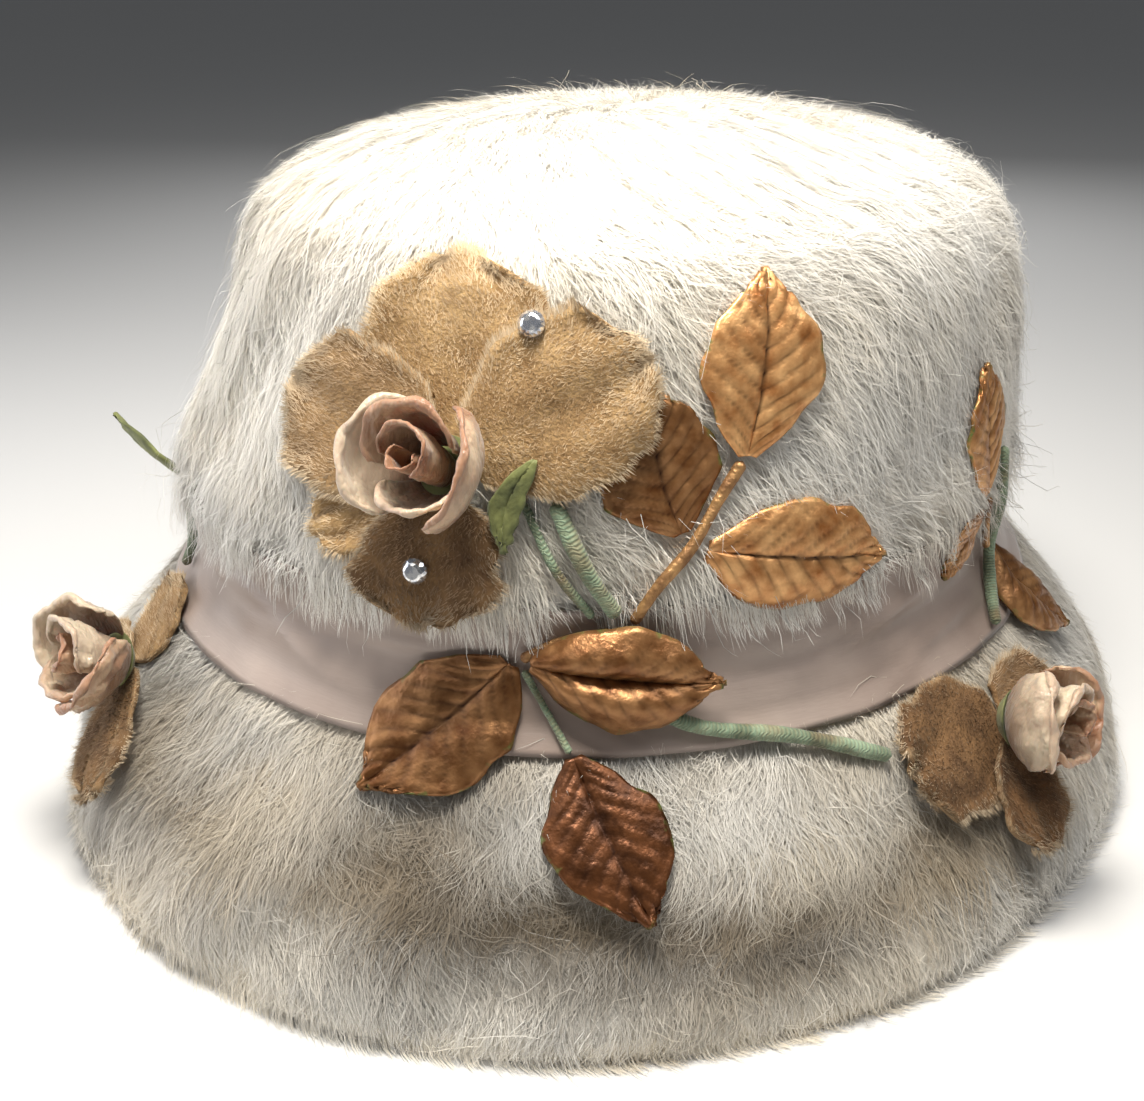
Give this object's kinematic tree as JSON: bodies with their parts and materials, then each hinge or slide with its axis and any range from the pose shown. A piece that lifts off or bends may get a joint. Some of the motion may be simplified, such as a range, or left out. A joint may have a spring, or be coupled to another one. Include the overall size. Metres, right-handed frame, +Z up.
{
  "type": "felt cloche hat",
  "caption": "Soft bell-brimmed mohair felt hat with a satin band, velvet and satin roses, bronzed leaves and small clear stones.",
  "frame": {"origin": "centre of the hem's oval, on the plane that the hem rests on", "axes": "+Z up through the crown, -Y towards the front of the hat, +X to the wearer's left"},
  "size_m": [0.2443, 0.2623, 0.146],
  "materials": {
    "mohair_felt": "long brushed mohair pile on felt",
    "satin_ribbon": "taupe pink satin, soft sheen",
    "velvet": "gold tan velvet pile",
    "bud_satin": "ivory satin shaded with brown",
    "bronze_leaf": "bronze paint on stamped and stiffened cloth",
    "green_wrap": "green thread and paper wrapped wire",
    "bronze_twig": "bronze painted wrapped wire",
    "sepal_green": "olive stiffened cloth",
    "crystal": "clear faceted rhinestone"
  },
  "bodies": {
    "root": {"crown": "mohair_felt", "brim": "mohair_felt", "hat_band": "satin_ribbon", "rose_velvet_top": "velvet", "rose_velvet_right": "velvet", "rose_velvet_left": "velvet", "rose_velvet_lower_left": "velvet", "rose_velvet_bottom": "velvet", "right_velvet_outer": "velvet", "right_velvet_lower": "velvet", "right_velvet_back": "velvet", "left_velvet_upper": "velvet", "left_velvet_lower": "velvet", "left_velvet_back": "velvet", "rose_satin_core": "bud_satin", "rose_satin_throat": "bud_satin", "rose_satin_top": "bud_satin", "rose_satin_bottom": "bud_satin", "rose_satin_right": "bud_satin", "rose_satin_left": "bud_satin", "right_satin_core": "bud_satin", "right_satin_upper": "bud_satin", "right_satin_lower": "bud_satin", "right_satin_right": "bud_satin", "right_satin_left": "bud_satin", "left_satin_core": "bud_satin", "left_satin_upper": "bud_satin", "left_satin_lower": "bud_satin", "left_satin_right": "bud_satin", "left_satin_left": "bud_satin", "leaf_upper_top": "bronze_leaf", "leaf_upper_left": "bronze_leaf", "leaf_upper_right": "bronze_leaf", "leaf_lower_left": "bronze_leaf", "leaf_folded": "bronze_leaf", "leaf_lower_tip": "bronze_leaf", "side_leaf_top": "bronze_leaf", "side_leaf_small": "bronze_leaf", "side_leaf_curled": "bronze_leaf", "rose_stem": "green_wrap", "rose_stem_thin": "green_wrap", "lower_wire": "green_wrap", "green_stem": "green_wrap", "side_stem": "green_wrap", "left_stem": "green_wrap", "upper_twig": "bronze_twig", "lower_twig": "bronze_twig", "side_twig": "bronze_twig", "rose_sepal": "sepal_green", "left_leaf": "sepal_green", "rose_calyx": "sepal_green", "right_calyx": "sepal_green", "left_calyx": "sepal_green", "rhinestone_upper": "crystal", "rhinestone_lower": "crystal"}
  },
  "joints": []
}
